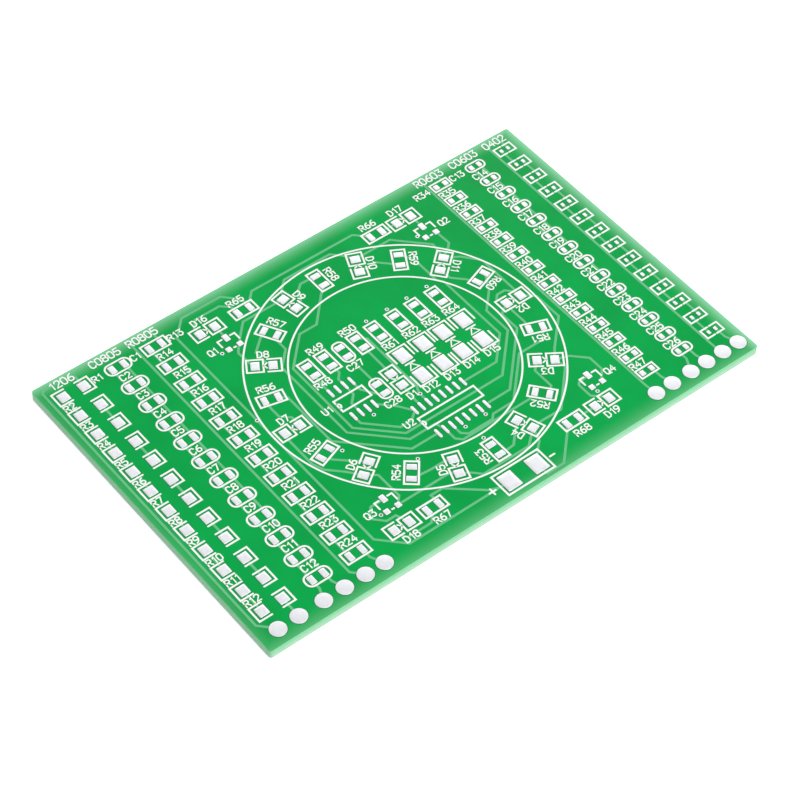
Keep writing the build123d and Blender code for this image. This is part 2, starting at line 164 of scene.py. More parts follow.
def round_corners(half_x: float, half_y: float, radius: float, steps: int) -> Outline:
    """Draw a rectangle with round corners about the origin.

    Args:
        half_x: Half of its length.
        half_y: Half of its width.
        radius: Radius of its corners.
        steps: Steps in which a corner turns.

    Returns:
        Its points, anticlockwise.
    """
    points = []
    for quarter, (sign_x, sign_y) in enumerate(QUARTERS):
        for step in range(steps + 1):
            angle = math.radians(90 * (quarter + step / steps))
            points.append((sign_x * (half_x - radius) + radius * math.cos(angle),
                           sign_y * (half_y - radius) + radius * math.sin(angle)))
    return points


def circle(middle: Point, radius: float, sides: int) -> Outline:
    """Points round a circle, anticlockwise."""
    return [placed((radius, 0.0), middle, 360 * k / sides) for k in range(sides)]


def node(tree: bpy.types.NodeTree, kind: str, settings: dict | None = None,
         inputs: dict | None = None) -> bpy.types.Node:
    """Add a node with its settings and inputs.

    Args:
        tree: The node tree to add to.
        kind: Blender's name of the node type.
        settings: Values by attribute name.
        inputs: Values, or sockets to link, by the name or number of the input.

    Returns:
        The new node.
    """
    made = tree.nodes.new(kind)
    for name, value in (settings or {}).items():
        setattr(made, name, value)
    for key, value in (inputs or {}).items():
        if isinstance(value, Socket):
            tree.links.new(value, made.inputs[key])
        else:
            made.inputs[key].default_value = value
    return made


def looking_rays(tree: bpy.types.NodeTree) -> Socket:
    """Tell the rays that show a surface from those that only carry its light.

    Args:
        tree: The node tree to add to.

    Returns:
        A socket that is 1 for the camera's rays and for those mirrored or seen through glass.
    """
    rays = node(tree, "ShaderNodeLightPath").outputs
    seen = node(tree, "ShaderNodeMath", {"operation": "MAXIMUM"},
                {0: rays["Is Camera Ray"], 1: rays["Is Glossy Ray"]})
    shown = node(tree, "ShaderNodeMath", {"operation": "MAXIMUM"},
                 {0: seen.outputs[0], 1: rays["Is Transmission Ray"]})
    return shown.outputs[0]


def empty_material(name: str) -> tuple[bpy.types.Material, bpy.types.NodeTree, Socket]:
    """Start a material.

    Args:
        name: The material's name.

    Returns:
        The material, its node tree and the place on the object as a texture coordinate.
    """
    made = bpy.data.materials.new(name)
    made.use_nodes = True
    made.node_tree.nodes.clear()
    return made, made.node_tree, node(made.node_tree, "ShaderNodeTexCoord").outputs["Object"]


# Finishes


@dataclass(frozen=True)
class SolderMask:
    """Glossy green epoxy solder mask, screened on a glass-epoxy laminate and baked.

    The eye gets an even deep green with a clear gloss, a faint glass weave under it and, on the
    sawn sides, the pale resin of the laminate. A paler band along the board's edges, strongest at
    the right and the back, is painted light, and so is the greener top of the sawn sides.
    """

    name: str = "solder_mask_epoxy"
    green: str = "00A64B"
    deep_green: str = "009C45"
    mottle_size: float = 9.0
    mottle_detail: float = 3.0
    mottle_range: tuple[float, float] = (0.35, 0.65)
    roughness: float = 0.16
    shine: float = 0.08
    weave_size: float = 0.9
    weave_distortion: float = 1.5
    weave_detail: float = 1.0
    weave_bump: float = 0.03
    weave_depth: float = 0.02
    # Painted light: the paler green of a band along the edges, and its share at each edge, strongest at
    # the right and the back where the sheen falls
    painted_edge_green: str = "A8E6C0"
    painted_edge_width: float = 3.0
    left_edge_light: float = 0.12
    right_edge_light: float = 0.74
    front_edge_light: float = 0.24
    back_edge_light: float = 0.62
    laminate: str = "C4E8CE"
    # Painted light: the greener tint at the top of the sawn sides stands for light leaking through the
    # mask
    painted_leak_green: str = "86DCA2"
    side_roughness: float = 0.6
    fibre_size: float = 0.35
    fibre_detail: float = 2.0
    fibre_shade: float = 0.86
    ply_stretch: float = 0.12
    flat_normal: float = 0.5

    def painted_edge_light(self, tree: bpy.types.NodeTree, parts: bpy.types.bpy_prop_collection) -> Socket:
        """Find how much paler the mask is near the edges of the board.

        The band is painted light: a paler green that stands for light leaking out through the
        laminate at its sawn edge and for the lamps' sheen, strongest toward the right and the back.

        Args:
            tree: The node tree to add to.
            parts: The place on the board, by axis.

        Returns:
            The socket with the share of the painted pale green.
        """
        low, high = (corner * MM for corner in box_mm("board"))
        reach = self.painted_edge_width * MM
        pale = None
        for axis, edge, inner, share in (("X", low.x, low.x + reach, self.left_edge_light),
                                         ("X", high.x, high.x - reach, self.right_edge_light),
                                         ("Y", low.y, low.y + reach, self.front_edge_light),
                                         ("Y", high.y, high.y - reach, self.back_edge_light)):
            near = node(tree, "ShaderNodeMapRange",
                        inputs={"Value": parts[axis], "From Min": inner, "From Max": edge,
                                "To Min": 0.0, "To Max": math.sqrt(share)}).outputs[0]
            band = node(tree, "ShaderNodeMath", {"operation": "MULTIPLY"}, {0: near, 1: near})
            pale = band if pale is None else node(tree, "ShaderNodeMath", {"operation": "MAXIMUM"},
                                                  {0: pale.outputs[0], 1: band.outputs[0]})
        return pale.outputs[0]

    def coat(self, tree: bpy.types.NodeTree, place: Socket,
             parts: bpy.types.bpy_prop_collection) -> Socket:
        """Colour the green coat.

        Args:
            tree: The node tree to add to.
            place: The place on the board.
            parts: The same place, by axis.

        Returns:
            The socket with the colour.
        """
        mottle = node(tree, "ShaderNodeTexNoise",
                      inputs={"Vector": place, "Scale": per_mm(self.mottle_size),
                              "Detail": self.mottle_detail})
        ramp = node(tree, "ShaderNodeValToRGB", inputs={"Fac": mottle.outputs["Fac"]})
        for stop, position, tone in zip(ramp.color_ramp.elements, self.mottle_range,
                                        (self.deep_green, self.green)):
            stop.position = position
            stop.color = srgb(tone)
        # Painted light: the coat turns to the paler edge green within the band along the edges
        mix = node(tree, "ShaderNodeMix", {"data_type": "RGBA"},
                   {MIX_FACTOR: self.painted_edge_light(tree, parts), MIX_LOW: ramp.outputs["Color"],
                    MIX_HIGH: srgb(self.painted_edge_green)})
        return mix.outputs[MIX_COLOUR]

    def sawn_sides(self, tree: bpy.types.NodeTree, place: Socket,
                   parts: bpy.types.bpy_prop_collection) -> Socket:
        """Colour the sawn sides, greener under their upper edge, with the plies as fine lines.

        Args:
            tree: The node tree to add to.
            place: The place on the board.
            parts: The same place, by axis.

        Returns:
            The socket with the colour.
        """
        low, high = (corner * MM for corner in box_mm("board"))
        # Painted light: the sides grow greener toward the top, for light that leaks through the green mask
        # into the laminate; the pale resin is below
        rise = node(tree, "ShaderNodeMapRange",
                    inputs={"Value": parts["Z"], "From Min": low.z, "From Max": high.z})
        resin = node(tree, "ShaderNodeMix", {"data_type": "RGBA"},
                     {MIX_FACTOR: rise.outputs[0], MIX_LOW: srgb(self.laminate),
                      MIX_HIGH: srgb(self.painted_leak_green)})
        plies = node(tree, "ShaderNodeMapping",
                     inputs={"Vector": place, "Scale": (self.ply_stretch, self.ply_stretch, 1.0)})
        fibre = node(tree, "ShaderNodeTexNoise",
                     inputs={"Vector": plies.outputs[0], "Scale": per_mm(self.fibre_size),
                             "Detail": self.fibre_detail})
        shade = node(tree, "ShaderNodeMapRange",
                     inputs={"Value": fibre.outputs["Fac"], "To Min": self.fibre_shade, "To Max": 1.0})
        sawn = node(tree, "ShaderNodeMix", {"data_type": "RGBA", "blend_type": "MULTIPLY"},
                    {MIX_FACTOR: 1.0, MIX_LOW: resin.outputs[MIX_COLOUR], MIX_HIGH: shade.outputs[0]})
        return sawn.outputs[MIX_COLOUR]

    def material(self) -> bpy.types.Material:
        """Build the material.

        Returns:
            The mask, with the laminate on upright faces.
        """
        made, tree, place = empty_material(self.name)
        parts = node(tree, "ShaderNodeSeparateXYZ", inputs={0: place}).outputs
        normal = node(tree, "ShaderNodeSeparateXYZ",
                      inputs={0: node(tree, "ShaderNodeNewGeometry").outputs["Normal"]})
        facing = node(tree, "ShaderNodeMath", {"operation": "ABSOLUTE"}, {0: normal.outputs["Z"]})
        flat = node(tree, "ShaderNodeMath", {"operation": "GREATER_THAN"},
                    {0: facing.outputs[0], 1: self.flat_normal}).outputs[0]
        colour = node(tree, "ShaderNodeMix", {"data_type": "RGBA"},
                      {MIX_FACTOR: flat, MIX_LOW: self.sawn_sides(tree, place, parts),
                       MIX_HIGH: self.coat(tree, place, parts)})
        rough = node(tree, "ShaderNodeMapRange",
                     inputs={"Value": flat, "To Min": self.side_roughness, "To Max": self.roughness})
        # A real glass weave is 0.45 mm; it is drawn at twice that so that it shows in the render
        weave = node(tree, "ShaderNodeTexWave", {"bands_direction": "DIAGONAL"},
                     {"Vector": place, "Scale": per_mm(self.weave_size) / math.tau,
                      "Distortion": self.weave_distortion, "Detail": self.weave_detail})
        bump = node(tree, "ShaderNodeBump",
                    inputs={"Height": weave.outputs["Fac"], "Strength": self.weave_bump,
                            "Distance": self.weave_depth * MM})
        shader = node(tree, "ShaderNodeBsdfPrincipled",
                      inputs={"Base Color": colour.outputs[MIX_COLOUR], "Roughness": rough.outputs[0],
                              "Normal": bump.outputs[0], "IOR": EPOXY_IOR,
                              "Specular IOR Level": self.shine})
        node(tree, "ShaderNodeOutputMaterial", inputs={"Surface": shader.outputs[0]})
        return made


@dataclass(frozen=True)
class MaskedCopper:
    """Copper run under the same mask, where the coat is thin over the metal.

    The eye gets a paler, greyer green than the bare laminate, with soft streaks of the etched metal.
    """

    name: str = "masked_copper_epoxy"
    thin: str = "72C28D"
    thick: str = "64B881"
    streak_size: float = 1.6
    streak_detail: float = 3.0
    roughness: float = 0.28
    shine: float = 0.08
    bump: float = 0.05
    bump_depth: float = 0.02

    def material(self) -> bpy.types.Material:
        """Build the material.

        Returns:
            The mask over copper.
        """
        made, tree, place = empty_material(self.name)
        streak = node(tree, "ShaderNodeTexNoise",
                      inputs={"Vector": place, "Scale": per_mm(self.streak_size),
                              "Detail": self.streak_detail}).outputs["Fac"]
        colour = node(tree, "ShaderNodeMix", {"data_type": "RGBA"},
                      {MIX_FACTOR: streak, MIX_LOW: srgb(self.thick), MIX_HIGH: srgb(self.thin)})
        bump = node(tree, "ShaderNodeBump", inputs={"Height": streak, "Strength": self.bump,
                                                    "Distance": self.bump_depth * MM})
        shader = node(tree, "ShaderNodeBsdfPrincipled",
                      inputs={"Base Color": colour.outputs[MIX_COLOUR], "Normal": bump.outputs[0],
                              "Roughness": self.roughness, "IOR": EPOXY_IOR,
                              "Specular IOR Level": self.shine})
        node(tree, "ShaderNodeOutputMaterial", inputs={"Surface": shader.outputs[0]})
        return made


@dataclass(frozen=True)
class HotAirTin:
    """Hot-air levelled tin on copper pads.

    The eye gets bright white metal, a little uneven where the molten tin froze, soft in its shine.
    """

    name: str = "hot_air_levelled_tin"
    bright: str = "DCDEE1"
    dull: str = "CFD1D5"
    ripple_size: float = 0.45
    ripple_detail: float = 2.0
    metallic: float = 0.6
    roughness_low: float = 0.28
    roughness_high: float = 0.46
    bump: float = 0.12
    bump_depth: float = 0.03

    def material(self) -> bpy.types.Material:
        """Build the material.

        Returns:
            The tin coat.
        """
        made, tree, place = empty_material(self.name)
        ripple = node(tree, "ShaderNodeTexNoise",
                      inputs={"Vector": place, "Scale": per_mm(self.ripple_size),
                              "Detail": self.ripple_detail}).outputs["Fac"]
        colour = node(tree, "ShaderNodeMix", {"data_type": "RGBA"},
                      {MIX_FACTOR: ripple, MIX_LOW: srgb(self.dull), MIX_HIGH: srgb(self.bright)})
        rough = node(tree, "ShaderNodeMapRange", inputs={"Value": ripple, "To Min": self.roughness_low,
                                                         "To Max": self.roughness_high})
        bump = node(tree, "ShaderNodeBump", inputs={"Height": ripple, "Strength": self.bump,
                                                    "Distance": self.bump_depth * MM})
        shader = node(tree, "ShaderNodeBsdfPrincipled",
                      inputs={"Base Color": colour.outputs[MIX_COLOUR], "Roughness": rough.outputs[0],
                              "Normal": bump.outputs[0], "Metallic": self.metallic})
        node(tree, "ShaderNodeOutputMaterial", inputs={"Surface": shader.outputs[0]})
        return made


@dataclass(frozen=True)
class BareLaminate:
    """Bare glass-epoxy laminate in the openings of the mask, darker than the mask round it.

    The eye gets a narrow dark green line round each pad: partly the bare laminate's own dull
    colour, partly painted shade for the mask's wall that rises round the pad.
    """

    name: str = "bare_laminate_painted_shade"
    pale: str = "1C7A45"
    # Painted shade: the darker green stands partly for the shade of the mask's wall round the pad
    painted_gap_shade: str = "0C5A30"
    tone_noise_size: float = 0.4
    tone_noise_detail: float = 1.0
    roughness: float = 0.6
    shine: float = 0.1

    def material(self) -> bpy.types.Material:
        """Build the material.

        Returns:
            The laminate round the pads.
        """
        made, tree, place = empty_material(self.name)
        tone_noise = node(tree, "ShaderNodeTexNoise",
                     inputs={"Vector": place, "Scale": per_mm(self.tone_noise_size),
                             "Detail": self.tone_noise_detail})
        colour = node(tree, "ShaderNodeMix", {"data_type": "RGBA"},
                      {MIX_FACTOR: tone_noise.outputs["Fac"], MIX_LOW: srgb(self.painted_gap_shade),
                       MIX_HIGH: srgb(self.pale)})
        shader = node(tree, "ShaderNodeBsdfPrincipled",
                      inputs={"Base Color": colour.outputs[MIX_COLOUR], "Roughness": self.roughness,
                              "Specular IOR Level": self.shine})
        node(tree, "ShaderNodeOutputMaterial", inputs={"Surface": shader.outputs[0]})
        return made


@dataclass(frozen=True)
class PlatedCopper:
    """Bare plated copper in the barrels of the vias, dulled by the air.

    The eye gets a dark warm brown in each small hole.
    """

    name: str = "plated_copper_dull"
    warm: str = "8A5A3C"
    dark: str = "5A3A28"
    tone_noise_size: float = 0.15
    tone_noise_detail: float = 1.0
    metallic: float = 0.6
    roughness: float = 0.45

    def material(self) -> bpy.types.Material:
        """Build the material.

        Returns:
            The barrels' copper.
        """
        made, tree, place = empty_material(self.name)
        tone_noise = node(tree, "ShaderNodeTexNoise",
                     inputs={"Vector": place, "Scale": per_mm(self.tone_noise_size),
                             "Detail": self.tone_noise_detail})
        colour = node(tree, "ShaderNodeMix", {"data_type": "RGBA"},
                      {MIX_FACTOR: tone_noise.outputs["Fac"], MIX_LOW: srgb(self.dark),
                       MIX_HIGH: srgb(self.warm)})
        shader = node(tree, "ShaderNodeBsdfPrincipled",
                      inputs={"Base Color": colour.outputs[MIX_COLOUR], "Metallic": self.metallic,
                              "Roughness": self.roughness})
        node(tree, "ShaderNodeOutputMaterial", inputs={"Surface": shader.outputs[0]})
        return made


@dataclass(frozen=True)
class ScreenInk:
    """White epoxy screen ink of the legend.

    The eye gets a dense white with a dull surface, thinned a little by the mesh it was pushed through.
    """

    name: str = "screen_ink_white"
    dense: str = "FDFDFC"
    thin: str = "F0F5F1"
    mesh_size: float = 0.5
    mesh_detail: float = 1.0
    roughness: float = 0.55

    def material(self) -> bpy.types.Material:
        """Build the material.

        Returns:
            The legend's ink.
        """
        made, tree, place = empty_material(self.name)
        cover = node(tree, "ShaderNodeTexNoise",
                     inputs={"Vector": place, "Scale": per_mm(self.mesh_size),
                             "Detail": self.mesh_detail})
        colour = node(tree, "ShaderNodeMix", {"data_type": "RGBA"},
                      {MIX_FACTOR: cover.outputs["Fac"], MIX_LOW: srgb(self.thin),
                       MIX_HIGH: srgb(self.dense)})
        shader = node(tree, "ShaderNodeBsdfPrincipled",
                      inputs={"Base Color": colour.outputs[MIX_COLOUR], "IOR": EPOXY_IOR,
                              "Roughness": self.roughness})
        node(tree, "ShaderNodeOutputMaterial", inputs={"Surface": shader.outputs[0]})
        return made


@dataclass(frozen=True)
class PaperSweep:
    """White paper sweep under the board.

    The camera sees it as plain white, and it takes the board's soft shadow.
    """

    name: str = "paper_sweep_white"
    white: str = "FFFFFF"
    glow: float = 0.45

    def material(self) -> bpy.types.Material:
        """Build the material.

        Returns:
            A diffuse paper whose own light brings it to white for the camera.
        """
        made, tree, _ = empty_material(self.name)
        paper = node(tree, "ShaderNodeBsdfDiffuse", inputs={"Color": srgb(self.white)}).outputs[0]
        light = node(tree, "ShaderNodeEmission",
                     inputs={"Color": srgb(self.white), "Strength": self.glow}).outputs[0]
        lit = node(tree, "ShaderNodeAddShader", inputs={0: paper, 1: light}).outputs[0]
        mix = node(tree, "ShaderNodeMixShader", inputs={0: looking_rays(tree), 1: paper, 2: lit})
        node(tree, "ShaderNodeOutputMaterial", inputs={"Surface": mix.outputs[0]})
        return made


# Meshes

# How far a bend of a printed line may be mitred, and the line's eased ends as shares of its width
MITRE_LIMIT = 0.6
END_REACH_SHARE = 0.35
END_HALF_WIDTH_SHARE = 0.27


def cross_sections(points: Outline, width: float, closed: bool) -> list[tuple[Vector, Vector]]:
    """Find the sections of a line with mitred bends and, where it is open, eased ends.

    Args:
        points: The line's points in order.
        width: The line's width.
        closed: Whether the last point joins the first.

    Returns:
        The middle of each section, and the way from there to the line's left side.
    """
    line = [Vector(p) for p in points]
    last = len(line) - 1
    sections = []
    for i, here in enumerate(line):
        before = (here - line[i - 1]).normalized() if closed or i > 0 else None
        after = (line[(i + 1) % len(line)] - here).normalized() if closed or i < last else None
        before, after = before or after, after or before
        along = (before + after).normalized()
        across = Vector((-along.y, along.x))
        reach, end_half = along * width * END_REACH_SHARE, across * width * END_HALF_WIDTH_SHARE
        if not closed and i == 0:
            sections.append((here - reach, end_half))
        sections.append((here, across * (width / 2 / max(along.dot(after), MITRE_LIMIT))))
        if not closed and i == last:
            sections.append((here + reach, end_half))
    return sections


class FlatMesh:
    """Thin raised shapes gathered into one mesh."""

    def __init__(self, level: float, height: float) -> None:
        """Start an empty mesh.

        Args:
            level: Height of the shapes' undersides above the frame's origin.
            height: Thickness of the shapes.
        """
        self.level = level
        self.height = height
        self.mesh = bmesh.new()

    def loft(self, loops: list[tuple[Outline, float]]) -> None:
        """Add a closed shape through outlines at rising levels.

        Args:
            loops: Each outline, anticlockwise and with the same number of points, and its level.
        """
        rings = [[self.mesh.verts.new((x * MM, y * MM, level * MM)) for x, y in outline]
                 for outline, level in loops]
        for lower, upper in zip(rings, rings[1:]):
            for i, j in zip(range(-1, len(lower) - 1), range(len(lower))):
                self.mesh.faces.new((lower[i], lower[j], upper[j], upper[i])).smooth = True
        self.mesh.faces.new(rings[-1]).smooth = True
        self.mesh.faces.new(rings[0][::-1])

    def sheet(self, outline: Outline) -> None:
        """Add a flat shape with the mesh's own thickness."""
        self.loft([(outline, self.level), (outline, self.level + self.height)])

    def ribbon(self, points: Outline, width: float, closed: bool = False, lift: float = 0.0) -> None:
        """Add a line.

        Args:
            points: The line's points in order.
            width: The line's width.
            closed: Whether the last point joins the first.
            lift: Rise of its top, for a line that crosses another.
        """
        sections = cross_sections(points, width, closed)
        rows = []
        for level in (self.level * MM, (self.level + self.height + lift) * MM):
            for side in (-1, 1):
                rows.append([self.mesh.verts.new((*((middle + half * side) * MM), level))
                             for middle, half in sections])
        low_right, low_left, top_right, top_left = rows
        loop = (low_right, top_right, top_left, low_left)
        count = len(sections)
        for i in range(count if closed else count - 1):
            j = (i + 1) % count
            for one, other in zip(loop, loop[1:] + loop[:1]):
                self.mesh.faces.new((one[i], one[j], other[j], other[i]))
        if not closed:
            self.mesh.faces.new([row[0] for row in loop])
            self.mesh.faces.new([row[-1] for row in reversed(loop)])

    def piece(self, name: str, finish: bpy.types.Material, slot: Slot) -> bpy.types.Object:
        """Turn what was gathered into an object that rides on the board.

        Args:
            name: The piece's name.
            finish: Its material.
            slot: Not used.

        Returns:
            The new object.
        """
        data = bpy.data.meshes.new(name)
        self.mesh.to_mesh(data)
        self.mesh.free()
        data.materials.append(finish)
        made = bpy.data.objects.new(name, data)
        bpy.context.scene.collection.objects.link(made)
        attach(made, BODY)
        LOG.info("%s: %d faces", name, len(data.polygons))
        return made


def vertex_groups(faces: list[bpy.types.MeshPolygon]) -> list[set[int]]:
    """Group the vertices of faces that hang together.

    Args:
        faces: Some faces of a mesh.

    Returns:
        The vertices of each group.
    """
    groups: list[set[int]] = []
    for face in faces:
        joined = set(face.vertices)
        apart = []
        for group in groups:
            if group & joined:
                joined |= group
            else:
                apart.append(group)
        groups = [*apart, joined]
    return groups


# Lettering

# Single-stroke letters of the screen print on a cell one unit high, each a list of lines
GLYPHS: dict[str, list[Outline]] = {
    "0": [[(0.15, 0), (0.45, 0), (0.6, 0.2), (0.6, 0.8), (0.45, 1), (0.15, 1), (0, 0.8), (0, 0.2),
           (0.15, 0)]],
    "1": [[(0.1, 0.78), (0.32, 1), (0.32, 0)]],
    "2": [[(0, 0.8), (0.14, 1), (0.46, 1), (0.6, 0.82), (0.6, 0.64), (0, 0), (0.6, 0)]],
    "3": [[(0, 1), (0.6, 1), (0.28, 0.6), (0.46, 0.6), (0.6, 0.44), (0.6, 0.18), (0.46, 0), (0.14, 0),
           (0, 0.16)]],
    "4": [[(0.46, 0), (0.46, 1), (0, 0.32)], [(0, 0.32), (0.64, 0.32)]],
    "5": [[(0.56, 1), (0.06, 1), (0, 0.56), (0.42, 0.6), (0.6, 0.44), (0.6, 0.18), (0.44, 0), (0.14, 0),
           (0, 0.14)]],
    "6": [[(0.54, 1), (0.24, 0.86), (0.02, 0.5), (0, 0.2), (0.14, 0), (0.46, 0), (0.6, 0.16),
           (0.6, 0.38), (0.46, 0.54)], [(0.46, 0.54), (0.14, 0.54), (0.02, 0.4)]],
    "7": [[(0, 1), (0.6, 1), (0.22, 0)]],
    "8": [[(0.16, 0.54), (0.02, 0.7), (0.02, 0.86), (0.16, 1), (0.44, 1), (0.58, 0.86), (0.58, 0.7),
           (0.44, 0.54), (0.16, 0.54)],
          [(0.16, 0.54), (0, 0.36), (0, 0.16), (0.14, 0), (0.46, 0), (0.6, 0.16), (0.6, 0.36),
           (0.44, 0.54), (0.16, 0.54)]],
    "9": [[(0.06, 0), (0.36, 0.14), (0.58, 0.5), (0.6, 0.8), (0.46, 1), (0.14, 1), (0, 0.84),
           (0, 0.62), (0.14, 0.46)], [(0.14, 0.46), (0.46, 0.46), (0.58, 0.6)]],
    "C": [[(0.62, 0.8), (0.46, 1), (0.16, 1), (0, 0.8), (0, 0.2), (0.16, 0), (0.46, 0), (0.62, 0.2)]],
    "D": [[(0, 0), (0, 1), (0.36, 1), (0.6, 0.76), (0.6, 0.24), (0.36, 0), (0, 0)]],
    "Q": [[(0.16, 0), (0.46, 0), (0.62, 0.2), (0.62, 0.8), (0.46, 1), (0.16, 1), (0, 0.8), (0, 0.2),
           (0.16, 0)], [(0.4, 0.26), (0.68, -0.08)]],
    "R": [[(0, 0), (0, 1), (0.44, 1), (0.6, 0.86), (0.6, 0.64), (0.44, 0.5), (0, 0.5)],
          [(0.3, 0.5), (0.62, 0)]],
    "U": [[(0, 1), (0, 0.2), (0.16, 0), (0.44, 0), (0.6, 0.2), (0.6, 1)]],
}


@dataclass(frozen=True)
class Lettering:
    """Screened words, with their steps and widths as shares of the letters' height."""

    height: float = 1.12
    stroke: float = 0.21
    advance: float = 0.86
    narrow_advance: float = 0.66
    letter_width: float = 0.62

    def step(self, letter: str) -> float:
        """Way from a letter to the next one."""
        return (self.narrow_advance if letter == "1" else self.advance) * self.height

    def width(self, text: str) -> float:
        """Length of a word from the left of its first letter to the right of its last."""
        return sum(self.step(letter) for letter in text) + (self.letter_width - self.advance) * self.height

    def write(self, ink: FlatMesh, text: str, anchor: Point, align: Align = Align.CENTRE,
              degrees: float = 0.0) -> None:
        """Draw a word.

        Args:
            ink: The mesh to draw in.
            text: The word.
            anchor: Middle height of the word, at its left end or at its middle.
            align: Which of the two the anchor is.
            degrees: Turn of the word.
        """
        pen = -self.width(text) * align.value
        for letter in text:
            for order, line in enumerate(GLYPHS[letter]):
                points = [placed((pen + x * self.height, (y - 0.5) * self.height), anchor, degrees)
                          for x, y in line]
                closed = line[0] == line[-1]
                ink.ribbon(points[:-1] if closed else points, self.stroke, closed, order * CROSSING_LIFT)
            pen += self.step(letter)


# The board's sub-assemblies


@dataclass
class Layout:
    """Places on the board, worked out from the CAD nodes in the frame."""

    ring_stroke: float = 0.36
    footprint_share: float = 0.87
    ring_step: float = 18.0
    upward_normal: float = 0.9
    pair_tolerance_share: float = 0.03
    edge_margin: float = 1.0
    via_reach: float = 0.5
    ring_middle: Point = field(init=False)
    ring_radius: float = field(init=False)
    inner_radius: float = field(init=False)
    mask_top: float = field(init=False)
    track_height: float = field(init=False)
    ink_level: float = field(init=False)
    ink_height: float = field(init=False)

    def __post_init__(self) -> None:
        """Read the rings, the mask's top and the ink's layer from the frame."""
        low, high = box_mm("legend_rings")
        self.ring_middle = box_middle("legend_rings")
        self.ring_radius = (high.x - low.x - self.ring_stroke) / 2
        reach = [math.dist((v.co.x / MM, v.co.y / MM), self.ring_middle)
                 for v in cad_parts["legend_rings"].data.vertices]
        self.inner_radius = min(reach) + self.ring_stroke / 2
        self.mask_top = box_mm("board")[1].z
        self.ink_level = low.z
        self.ink_height = high.z - low.z
        self.track_height = self.ink_level - self.mask_top

    def pads(self, name: str) -> list[Outline]:
        """Read the outlines of the pads in a CAD node from their top faces.

        Args:
            name: The CAD node.

        Returns:
            The corners of each pad, anticlockwise.
        """
        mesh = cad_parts[name].data
        outlines = []
        for group in vertex_groups([face for face in mesh.polygons if face.normal.z > self.upward_normal]):
            places = [mesh.vertices[index].co / MM for index in group]
            corners = list({(round(place.x, 4), round(place.y, 4)) for place in places})
            mid = middle_of(corners)
            outlines.append(sorted(corners, key=lambda p: math.atan2(p[1] - mid[1], p[0] - mid[0])))
        return outlines

    def pairs(self, name: str, span: float) -> list[Point]:
        """Find the middles of two-pad footprints, from left to right.

        Args:
            name: The CAD node with the pads.
            span: Distance between the middles of a footprint's two pads.

        Returns:
            One point for each footprint.
        """
        mids = [middle_of(pad) for pad in self.pads(name)]
        return sorted(middle_of([a, b]) for i, a in enumerate(mids) for b in mids[i + 1:]
                      if abs(math.dist(a, b) - span) < self.pair_tolerance_share * span)

    def column(self, name: str) -> list[Point]:
        """Find the middles of a column's footprints, from the back row to the front row.

        Args:
            name: The CAD node with the column's pads.

        Returns:
            One point for each footprint.
        """
        mids = [middle_of(pad) for pad in self.pads(name)]
        mid_x = middle_of(mids)[0]
        return [(mid_x, y) for y in sorted({round(y, 3) for _, y in mids}, reverse=True)]

    def on_ring(self, index: int, first: float) -> Point:
        """Find the middle of a footprint on the ring.

        Args:
            index: Its number, clockwise.
            first: Angle of the first footprint of its kind.

        Returns:
            The point on the board.
        """
        radius = self.ring_radius * self.footprint_share
        return placed((radius, 0.0), self.ring_middle, first - 2 * self.ring_step * index)

    def vias(self) -> list[Point]:
        """Find the middles of the drilled vias from the edges of their holes in the board.

        Returns:
            One point for each via.
        """
        low, high = box_mm("board")
        groups: list[Outline] = []
        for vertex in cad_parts["board"].data.vertices:
            x, y = vertex.co.x / MM, vertex.co.y / MM
            if min(x - low.x, high.x - x, y - low.y, high.y - y) < self.edge_margin:
                continue
            near = [group for group in groups if math.dist(group[0], (x, y)) < self.via_reach]
            if near:
                near[0].append((x, y))
            else:
                groups.append([(x, y)])
        return [middle_of(list(set(group))) for group in groups]


@dataclass
class TinnedPads:
    """Tin on the pads of one CAD node: rounded corners, rolled rim and a low crown."""

    node_name: str
    layout: Layout
    corner_radius: float = 0.14
    least_radius: float = 0.02
    corner_steps: int = 4
    round_sides: int = 48
    round_tolerance: float = 0.1
    pull_back: float = 0.04
    rim_inset: float = 0.04
    rim_drop: float = 0.02
    crown: float = 0.008
    crown_inset_share: float = 0.22
    lead_pad_width: float = 0.6

    def outline(self, corners: Outline, inset: float) -> Outline:
        """Draw the pad's round-cornered outline.

        Args:
            corners: The CAD pad's corners, anticlockwise.
            inset: Distance to stay inside them.

        Returns:
            Points round the pad, the same number whatever the inset.
        """
        steps = self.corner_steps
        if len(corners) == 4:
            axis = Vector(corners[1]) - Vector(corners[0])
            length, width = axis.length, math.dist(corners[1], corners[2])
            turn, radius = math.degrees(math.atan2(axis.y, axis.x)), self.corner_radius
        else:
            xs, ys = zip(*corners)
            length, width = max(xs) - min(xs), max(ys) - min(ys)
            turn, radius = 0.0, min(length, width) / 2
            if abs(length - width) < self.round_tolerance:
                steps = self.round_sides // 4
        radius = max(radius - inset, self.least_radius)
        mid = middle_of(corners)
        return [placed(point, mid, turn)
                for point in round_corners(length / 2 - inset, width / 2 - inset, radius, steps)]

    def build(self, tin: bpy.types.Material) -> bpy.types.Object:
        """Build the tin and let it stand for the CAD pads.

        Args:
            tin: The tin's material.

        Returns:
            The piece.
        """
        low, high = box_mm(self.node_name)
        sheets = FlatMesh(low.z, high.z - low.z)
        for corners in self.layout.pads(self.node_name):
            span = self.lead_pad_width
            if len(corners) == 4:
                span = min(math.dist(corners[0], corners[1]), math.dist(corners[1], corners[2]))
            wall = self.outline(corners, self.pull_back)
            sheets.loft([(wall, low.z), (wall, high.z - self.rim_drop),
                         (self.outline(corners, self.pull_back + self.rim_inset), high.z),
                         (self.outline(corners, self.crown_inset_share * span), high.z + self.crown)])
        piece = sheets.piece(self.node_name + "_tin", tin, Slot.TIN)
        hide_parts(self.node_name)
        return piece


